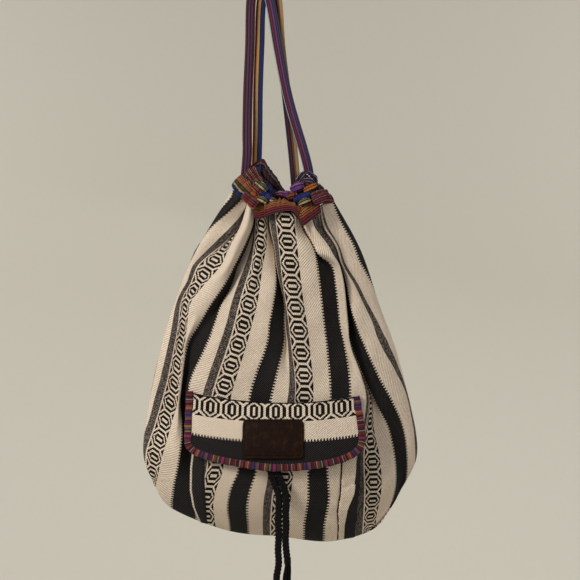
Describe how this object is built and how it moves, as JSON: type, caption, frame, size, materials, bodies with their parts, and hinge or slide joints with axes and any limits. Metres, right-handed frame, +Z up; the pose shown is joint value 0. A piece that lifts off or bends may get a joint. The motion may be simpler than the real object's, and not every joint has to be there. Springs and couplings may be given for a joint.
{
  "type": "drawstring bag",
  "caption": "Woven striped cotton drawstring bag hanging by its straps, with a gathered mouth, a bound front pocket flap, a leather patch and a black tie.",
  "frame": {"origin": "the point where the two drawstrings hang on a peg", "axes": "+Z up, the front with the pocket faces -Y, +X to the viewer's right"},
  "size_m": [0.3288, 0.1265, 0.7515],
  "materials": {
    "body_cloth": "woven cotton, cream with black, grey and octagon stripes",
    "casing_cloth": "striped cotton",
    "strap_cloth": "striped cotton strap",
    "dark_cloth": "woven cotton, charcoal",
    "binding_cloth": "striped cotton binding",
    "patch_leather": "dark brown leather, smooth",
    "black_cord": "black braided cotton cord"
  },
  "bodies": {
    "root": {"front_panel": "body_cloth", "back_panel": "body_cloth", "front_casing": "casing_cloth", "back_casing": "casing_cloth", "left_drawstring": "strap_cloth", "right_drawstring": "strap_cloth", "pocket_panel": "body_cloth", "pocket_gusset_left": "dark_cloth", "pocket_gusset_right": "dark_cloth", "pocket_flap": "body_cloth", "flap_binding": "binding_cloth", "leather_patch": "patch_leather", "tie_knot": "black_cord", "tie_cord_left": "black_cord", "tie_cord_right": "black_cord", "tie_tassel_left": "black_cord", "tie_tassel_right": "black_cord"}
  },
  "joints": []
}
